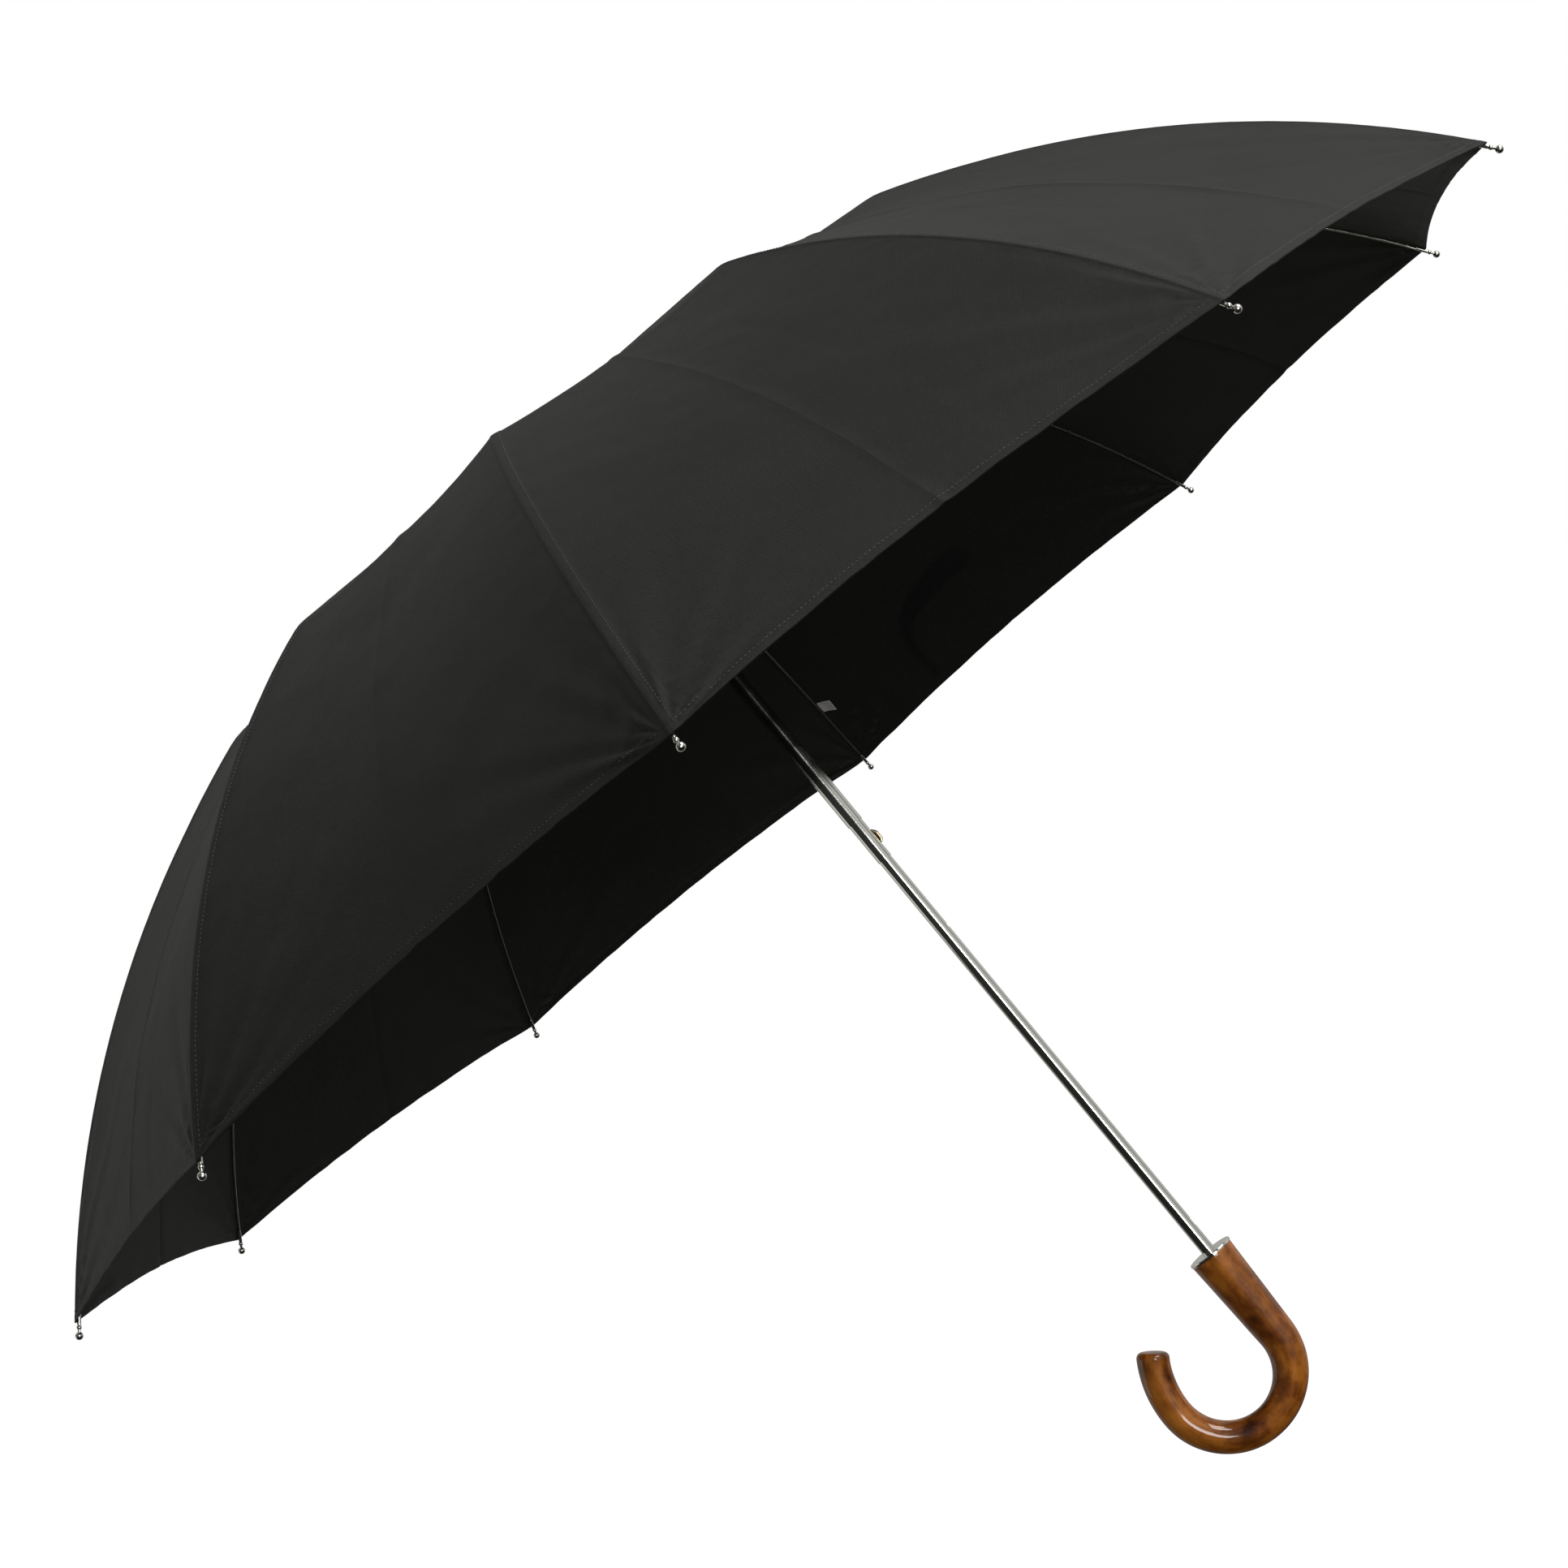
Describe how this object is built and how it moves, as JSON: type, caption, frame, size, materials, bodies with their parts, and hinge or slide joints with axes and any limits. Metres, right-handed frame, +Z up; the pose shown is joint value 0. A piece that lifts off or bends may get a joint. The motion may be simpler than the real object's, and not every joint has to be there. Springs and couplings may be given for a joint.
{
  "type": "umbrella",
  "caption": "Telescopic folding umbrella, open: domed cloth canopy on two-part hinged steel ribs, sliding runner, steel shaft and curved wooden crook handle.",
  "frame": {"origin": "on the shaft's axis, at the top face of the handle's end plate, where the hand holds the shaft and handle", "axes": "+Z up the shaft towards the canopy's top, -X towards the nose of the crook"},
  "size_m": [1.0056, 1.0314, 0.7282],
  "materials": {
    "wood": "glossy varnish",
    "nickel": "polished nickel",
    "steel": "polished steel tube",
    "rib_steel": "bright steel",
    "brass": "satin brass",
    "black_plastic": "black moulded plastic",
    "canopy_cloth": "fine black pongee weave",
    "strap_cloth": "black woven strap",
    "tag_cloth": "white satin tape, blank"
  },
  "bodies": {
    "handle": {"handle": "wood", "end_plate": "nickel", "lower_tube": "steel"},
    "lock_catch": {"lock_catch": "brass"},
    "upper_shaft": {"guide_tube": "steel", "upper_tube": "steel", "crown": "black_plastic", "crown_wire": "rib_steel", "cap": "black_plastic", "canopy": "canopy_cloth", "strap": "strap_cloth"},
    "runner": {"runner": "black_plastic"},
    "runner_lever": {"runner_lever": "black_plastic"},
    "inner_rib_1": {"inner_rib_1": "rib_steel"},
    "outer_rib_1": {"outer_rib_1": "rib_steel"},
    "stretcher_1": {"stretcher_1": "rib_steel"},
    "link_wire_1": {"link_wire_1": "rib_steel"},
    "inner_rib_2": {"inner_rib_2": "rib_steel"},
    "outer_rib_2": {"outer_rib_2": "rib_steel"},
    "stretcher_2": {"stretcher_2": "rib_steel"},
    "link_wire_2": {"link_wire_2": "rib_steel"},
    "inner_rib_3": {"inner_rib_3": "rib_steel"},
    "outer_rib_3": {"outer_rib_3": "rib_steel"},
    "stretcher_3": {"stretcher_3": "rib_steel"},
    "link_wire_3": {"link_wire_3": "rib_steel"},
    "inner_rib_4": {"inner_rib_4": "rib_steel"},
    "outer_rib_4": {"outer_rib_4": "rib_steel"},
    "stretcher_4": {"stretcher_4": "rib_steel"},
    "link_wire_4": {"link_wire_4": "rib_steel"},
    "inner_rib_5": {"inner_rib_5": "rib_steel"},
    "outer_rib_5": {"outer_rib_5": "rib_steel"},
    "stretcher_5": {"stretcher_5": "rib_steel"},
    "link_wire_5": {"link_wire_5": "rib_steel"},
    "inner_rib_6": {"inner_rib_6": "rib_steel"},
    "outer_rib_6": {"outer_rib_6": "rib_steel", "care_tag": "tag_cloth"},
    "stretcher_6": {"stretcher_6": "rib_steel"},
    "link_wire_6": {"link_wire_6": "rib_steel"},
    "inner_rib_7": {"inner_rib_7": "rib_steel"},
    "outer_rib_7": {"outer_rib_7": "rib_steel"},
    "stretcher_7": {"stretcher_7": "rib_steel"},
    "link_wire_7": {"link_wire_7": "rib_steel"},
    "inner_rib_8": {"inner_rib_8": "rib_steel"},
    "outer_rib_8": {"outer_rib_8": "rib_steel"},
    "stretcher_8": {"stretcher_8": "rib_steel"},
    "link_wire_8": {"link_wire_8": "rib_steel"},
    "inner_rib_9": {"inner_rib_9": "rib_steel"},
    "outer_rib_9": {"outer_rib_9": "rib_steel"},
    "stretcher_9": {"stretcher_9": "rib_steel"},
    "link_wire_9": {"link_wire_9": "rib_steel"},
    "inner_rib_10": {"inner_rib_10": "rib_steel"},
    "outer_rib_10": {"outer_rib_10": "rib_steel"},
    "stretcher_10": {"stretcher_10": "rib_steel"},
    "link_wire_10": {"link_wire_10": "rib_steel"}
  },
  "joints": [
    {"name": "shaft_telescope", "type": "slide", "parent": "handle", "child": "upper_shaft", "axis": [0, 0, -1], "range_m": [0, 0.268], "deforming": ["lock_catch"]},
    {"name": "lock_press", "type": "slide", "parent": "handle", "child": "lock_catch", "axis": [-1, 0, 0], "range_m": [0, 0.0028], "stiffness_N_per_m": 400, "springref_m": -0.002},
    {"name": "runner_slide", "type": "slide", "parent": "upper_shaft", "child": "runner", "axis": [0, 0, -1], "range_m": [0, 0.13619], "deforming": ["canopy", "strap"]},
    {"name": "lever_press", "type": "hinge", "parent": "runner", "child": "runner_lever", "pos_m": [0.0072, 0, 0.46757], "axis": [0, 1, 0], "range_deg": [0, 8], "stiffness_Nm_per_rad": 0.02, "springref_deg": -17.19},
    {"name": "crown_hinge_1", "type": "hinge", "parent": "upper_shaft", "child": "inner_rib_1", "pos_m": [-0.00065, -0.00847, 0.61], "axis": [0.9971, -0.0767, 0], "range_deg": [0, 76.13]},
    {"name": "elbow_1", "type": "hinge", "parent": "inner_rib_1", "child": "outer_rib_1", "pos_m": [-0.01887, -0.24527, 0.5715], "axis": [-0.9971, 0.0767, 0], "range_deg": [0, 188.05]},
    {"name": "stretcher_joint_1", "type": "hinge", "parent": "inner_rib_1", "child": "stretcher_1", "pos_m": [-0.00897, -0.11651, 0.59105], "axis": [-0.9971, 0.0767, 0], "range_deg": [0, 120.26]},
    {"name": "link_slide_1", "type": "slide", "parent": "inner_rib_1", "child": "link_wire_1", "axis": [-0.0756, -0.9821, -0.1723], "range_m": [0, 0.0121]},
    {"name": "crown_hinge_2", "type": "hinge", "parent": "upper_shaft", "child": "inner_rib_2", "pos_m": [0.00445, -0.00724, 0.61], "axis": [0.8517, 0.524, 0], "range_deg": [0, 76.13]},
    {"name": "elbow_2", "type": "hinge", "parent": "inner_rib_2", "child": "outer_rib_2", "pos_m": [0.1289, -0.20952, 0.5715], "axis": [-0.8517, -0.524, 0], "range_deg": [0, 188.05]},
    {"name": "stretcher_joint_2", "type": "hinge", "parent": "inner_rib_2", "child": "stretcher_2", "pos_m": [0.06123, -0.09953, 0.59105], "axis": [-0.8517, -0.524, 0], "range_deg": [0, 120.26]},
    {"name": "link_slide_2", "type": "slide", "parent": "inner_rib_2", "child": "link_wire_2", "axis": [0.5161, -0.839, -0.1723], "range_m": [0, 0.0121]},
    {"name": "crown_hinge_3", "type": "hinge", "parent": "upper_shaft", "child": "inner_rib_3", "pos_m": [0.00786, -0.00324, 0.61], "axis": [0.3811, 0.9245, 0], "range_deg": [0, 76.13]},
    {"name": "elbow_3", "type": "hinge", "parent": "inner_rib_3", "child": "outer_rib_3", "pos_m": [0.22744, -0.09374, 0.5715], "axis": [-0.3811, -0.9245, 0], "range_deg": [0, 188.05]},
    {"name": "stretcher_joint_3", "type": "hinge", "parent": "inner_rib_3", "child": "stretcher_3", "pos_m": [0.10804, -0.04453, 0.59105], "axis": [-0.3811, -0.9245, 0], "range_deg": [0, 120.26]},
    {"name": "link_slide_3", "type": "slide", "parent": "inner_rib_3", "child": "link_wire_3", "axis": [0.9107, -0.3754, -0.1723], "range_m": [0, 0.0121]},
    {"name": "crown_hinge_4", "type": "hinge", "parent": "upper_shaft", "child": "inner_rib_4", "pos_m": [0.00826, 0.002, 0.61], "axis": [-0.2351, 0.972, 0], "range_deg": [0, 76.13]},
    {"name": "elbow_4", "type": "hinge", "parent": "inner_rib_4", "child": "outer_rib_4", "pos_m": [0.2391, 0.05785, 0.5715], "axis": [0.2351, -0.972, 0], "range_deg": [0, 188.05]},
    {"name": "stretcher_joint_4", "type": "hinge", "parent": "inner_rib_4", "child": "stretcher_4", "pos_m": [0.11358, 0.02748, 0.59105], "axis": [0.2351, -0.972, 0], "range_deg": [0, 120.26]},
    {"name": "link_slide_4", "type": "slide", "parent": "inner_rib_4", "child": "link_wire_4", "axis": [0.9574, 0.2316, -0.1723], "range_m": [0, 0.0121]},
    {"name": "crown_hinge_5", "type": "hinge", "parent": "upper_shaft", "child": "inner_rib_5", "pos_m": [0.00551, 0.00647, 0.61], "axis": [-0.7615, 0.6481, 0], "range_deg": [0, 76.13]},
    {"name": "elbow_5", "type": "hinge", "parent": "inner_rib_5", "child": "outer_rib_5", "pos_m": [0.15944, 0.18734, 0.5715], "axis": [0.7615, -0.6481, 0], "range_deg": [0, 188.05]},
    {"name": "stretcher_joint_5", "type": "hinge", "parent": "inner_rib_5", "child": "stretcher_5", "pos_m": [0.07574, 0.08899, 0.59105], "axis": [0.7615, -0.6481, 0], "range_deg": [0, 120.26]},
    {"name": "link_slide_5", "type": "slide", "parent": "inner_rib_5", "child": "link_wire_5", "axis": [0.6384, 0.7501, -0.1723], "range_m": [0, 0.0121]},
    {"name": "crown_hinge_6", "type": "hinge", "parent": "upper_shaft", "child": "inner_rib_6", "pos_m": [0.00065, 0.00847, 0.61], "axis": [-0.9971, 0.0767, 0], "range_deg": [0, 76.13]},
    {"name": "elbow_6", "type": "hinge", "parent": "inner_rib_6", "child": "outer_rib_6", "pos_m": [0.01887, 0.24527, 0.5715], "axis": [0.9971, -0.0767, 0], "range_deg": [0, 188.05]},
    {"name": "stretcher_joint_6", "type": "hinge", "parent": "inner_rib_6", "child": "stretcher_6", "pos_m": [0.00897, 0.11651, 0.59105], "axis": [0.9971, -0.0767, 0], "range_deg": [0, 120.26]},
    {"name": "link_slide_6", "type": "slide", "parent": "inner_rib_6", "child": "link_wire_6", "axis": [0.0756, 0.9821, -0.1723], "range_m": [0, 0.0121]},
    {"name": "crown_hinge_7", "type": "hinge", "parent": "upper_shaft", "child": "inner_rib_7", "pos_m": [-0.00445, 0.00724, 0.61], "axis": [-0.8517, -0.524, 0], "range_deg": [0, 76.13]},
    {"name": "elbow_7", "type": "hinge", "parent": "inner_rib_7", "child": "outer_rib_7", "pos_m": [-0.1289, 0.20952, 0.5715], "axis": [0.8517, 0.524, 0], "range_deg": [0, 188.05]},
    {"name": "stretcher_joint_7", "type": "hinge", "parent": "inner_rib_7", "child": "stretcher_7", "pos_m": [-0.06123, 0.09953, 0.59105], "axis": [0.8517, 0.524, 0], "range_deg": [0, 120.26]},
    {"name": "link_slide_7", "type": "slide", "parent": "inner_rib_7", "child": "link_wire_7", "axis": [-0.5161, 0.839, -0.1723], "range_m": [0, 0.0121]},
    {"name": "crown_hinge_8", "type": "hinge", "parent": "upper_shaft", "child": "inner_rib_8", "pos_m": [-0.00786, 0.00324, 0.61], "axis": [-0.3811, -0.9245, 0], "range_deg": [0, 76.13]},
    {"name": "elbow_8", "type": "hinge", "parent": "inner_rib_8", "child": "outer_rib_8", "pos_m": [-0.22744, 0.09374, 0.5715], "axis": [0.3811, 0.9245, 0], "range_deg": [0, 188.05]},
    {"name": "stretcher_joint_8", "type": "hinge", "parent": "inner_rib_8", "child": "stretcher_8", "pos_m": [-0.10804, 0.04453, 0.59105], "axis": [0.3811, 0.9245, 0], "range_deg": [0, 120.26]},
    {"name": "link_slide_8", "type": "slide", "parent": "inner_rib_8", "child": "link_wire_8", "axis": [-0.9107, 0.3754, -0.1723], "range_m": [0, 0.0121]},
    {"name": "crown_hinge_9", "type": "hinge", "parent": "upper_shaft", "child": "inner_rib_9", "pos_m": [-0.00826, -0.002, 0.61], "axis": [0.2351, -0.972, 0], "range_deg": [0, 76.13]},
    {"name": "elbow_9", "type": "hinge", "parent": "inner_rib_9", "child": "outer_rib_9", "pos_m": [-0.2391, -0.05785, 0.5715], "axis": [-0.2351, 0.972, 0], "range_deg": [0, 188.05]},
    {"name": "stretcher_joint_9", "type": "hinge", "parent": "inner_rib_9", "child": "stretcher_9", "pos_m": [-0.11358, -0.02748, 0.59105], "axis": [-0.2351, 0.972, 0], "range_deg": [0, 120.26]},
    {"name": "link_slide_9", "type": "slide", "parent": "inner_rib_9", "child": "link_wire_9", "axis": [-0.9574, -0.2316, -0.1723], "range_m": [0, 0.0121]},
    {"name": "crown_hinge_10", "type": "hinge", "parent": "upper_shaft", "child": "inner_rib_10", "pos_m": [-0.00551, -0.00647, 0.61], "axis": [0.7615, -0.6481, 0], "range_deg": [0, 76.13]},
    {"name": "elbow_10", "type": "hinge", "parent": "inner_rib_10", "child": "outer_rib_10", "pos_m": [-0.15944, -0.18734, 0.5715], "axis": [-0.7615, 0.6481, 0], "range_deg": [0, 188.05]},
    {"name": "stretcher_joint_10", "type": "hinge", "parent": "inner_rib_10", "child": "stretcher_10", "pos_m": [-0.07574, -0.08899, 0.59105], "axis": [-0.7615, 0.6481, 0], "range_deg": [0, 120.26]},
    {"name": "link_slide_10", "type": "slide", "parent": "inner_rib_10", "child": "link_wire_10", "axis": [-0.6384, -0.7501, -0.1723], "range_m": [0, 0.0121]}
  ],
  "couplings": [
    {"joint": "crown_hinge_1", "follows": "runner_slide", "rad_per_m": 9.7496},
    {"joint": "elbow_1", "follows": "runner_slide", "rad_per_m": 24.093},
    {"joint": "stretcher_joint_1", "follows": "runner_slide", "rad_per_m": 15.405},
    {"joint": "link_slide_1", "follows": "runner_slide", "ratio": 0.088112},
    {"joint": "crown_hinge_2", "follows": "runner_slide", "rad_per_m": 9.7496},
    {"joint": "elbow_2", "follows": "runner_slide", "rad_per_m": 24.093},
    {"joint": "stretcher_joint_2", "follows": "runner_slide", "rad_per_m": 15.405},
    {"joint": "link_slide_2", "follows": "runner_slide", "ratio": 0.088112},
    {"joint": "crown_hinge_3", "follows": "runner_slide", "rad_per_m": 9.7496},
    {"joint": "elbow_3", "follows": "runner_slide", "rad_per_m": 24.093},
    {"joint": "stretcher_joint_3", "follows": "runner_slide", "rad_per_m": 15.405},
    {"joint": "link_slide_3", "follows": "runner_slide", "ratio": 0.088112},
    {"joint": "crown_hinge_4", "follows": "runner_slide", "rad_per_m": 9.7496},
    {"joint": "elbow_4", "follows": "runner_slide", "rad_per_m": 24.093},
    {"joint": "stretcher_joint_4", "follows": "runner_slide", "rad_per_m": 15.405},
    {"joint": "link_slide_4", "follows": "runner_slide", "ratio": 0.088112},
    {"joint": "crown_hinge_5", "follows": "runner_slide", "rad_per_m": 9.7496},
    {"joint": "elbow_5", "follows": "runner_slide", "rad_per_m": 24.093},
    {"joint": "stretcher_joint_5", "follows": "runner_slide", "rad_per_m": 15.405},
    {"joint": "link_slide_5", "follows": "runner_slide", "ratio": 0.088112},
    {"joint": "crown_hinge_6", "follows": "runner_slide", "rad_per_m": 9.7496},
    {"joint": "elbow_6", "follows": "runner_slide", "rad_per_m": 24.093},
    {"joint": "stretcher_joint_6", "follows": "runner_slide", "rad_per_m": 15.405},
    {"joint": "link_slide_6", "follows": "runner_slide", "ratio": 0.088112},
    {"joint": "crown_hinge_7", "follows": "runner_slide", "rad_per_m": 9.7496},
    {"joint": "elbow_7", "follows": "runner_slide", "rad_per_m": 24.093},
    {"joint": "stretcher_joint_7", "follows": "runner_slide", "rad_per_m": 15.405},
    {"joint": "link_slide_7", "follows": "runner_slide", "ratio": 0.088112},
    {"joint": "crown_hinge_8", "follows": "runner_slide", "rad_per_m": 9.7496},
    {"joint": "elbow_8", "follows": "runner_slide", "rad_per_m": 24.093},
    {"joint": "stretcher_joint_8", "follows": "runner_slide", "rad_per_m": 15.405},
    {"joint": "link_slide_8", "follows": "runner_slide", "ratio": 0.088112},
    {"joint": "crown_hinge_9", "follows": "runner_slide", "rad_per_m": 9.7496},
    {"joint": "elbow_9", "follows": "runner_slide", "rad_per_m": 24.093},
    {"joint": "stretcher_joint_9", "follows": "runner_slide", "rad_per_m": 15.405},
    {"joint": "link_slide_9", "follows": "runner_slide", "ratio": 0.088112},
    {"joint": "crown_hinge_10", "follows": "runner_slide", "rad_per_m": 9.7496},
    {"joint": "elbow_10", "follows": "runner_slide", "rad_per_m": 24.093},
    {"joint": "stretcher_joint_10", "follows": "runner_slide", "rad_per_m": 15.405},
    {"joint": "link_slide_10", "follows": "runner_slide", "ratio": 0.088112}
  ]
}
